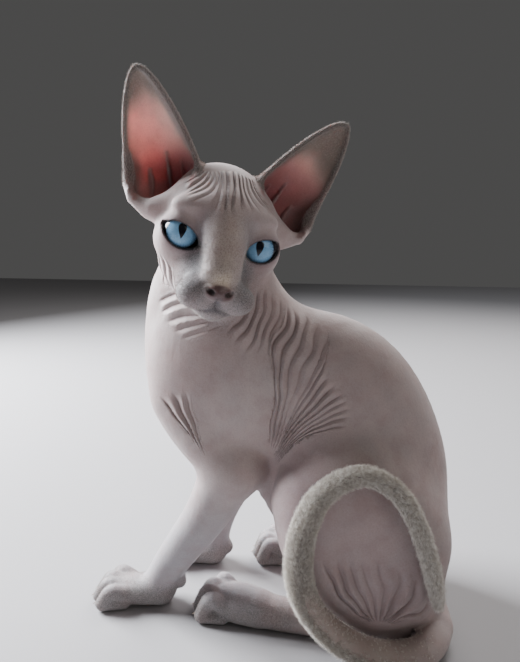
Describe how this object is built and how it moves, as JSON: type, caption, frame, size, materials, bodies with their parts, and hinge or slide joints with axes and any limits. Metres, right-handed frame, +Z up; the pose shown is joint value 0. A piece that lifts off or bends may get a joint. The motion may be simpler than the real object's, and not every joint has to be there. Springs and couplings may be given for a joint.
{
  "type": "sphynx cat",
  "caption": "Life-size museum model of a hairless sphynx cat, sitting with one forepaw forward and its head turned to its left, the tail looped up over the thigh",
  "frame": {"origin": "On the floor, under the middle of the cat's bounding box.", "axes": "+Z is up. The cat's chest faces -X and its left side is -Y. The head looks round towards -Y."},
  "size_m": [0.2301, 0.1532, 0.3327],
  "materials": {
    "skin": "bare wrinkled skin, pinkish grey, with a faint suede down",
    "ear_skin": "thin translucent ear skin, salmon to red inside, with a dark rim",
    "eye": "wet ice-blue eye with a dark slit pupil",
    "tail_fur": "short dense fuzz, yellowish grey with dark specks"
  },
  "bodies": {
    "root": {"head": "skin", "neck": "skin", "torso": "skin", "foreleg_left": "skin", "foreleg_right": "skin", "forepaw_left": "skin", "forepaw_right": "skin", "thigh_left": "skin", "thigh_right": "skin", "hindfoot_left": "skin", "hindfoot_right": "skin", "ear_left": "ear_skin", "ear_right": "ear_skin", "eye_left": "eye", "eye_right": "eye", "tail_floor": "tail_fur", "tail_rise": "tail_fur", "tail_arch": "tail_fur", "tail_tip": "tail_fur"}
  },
  "joints": []
}
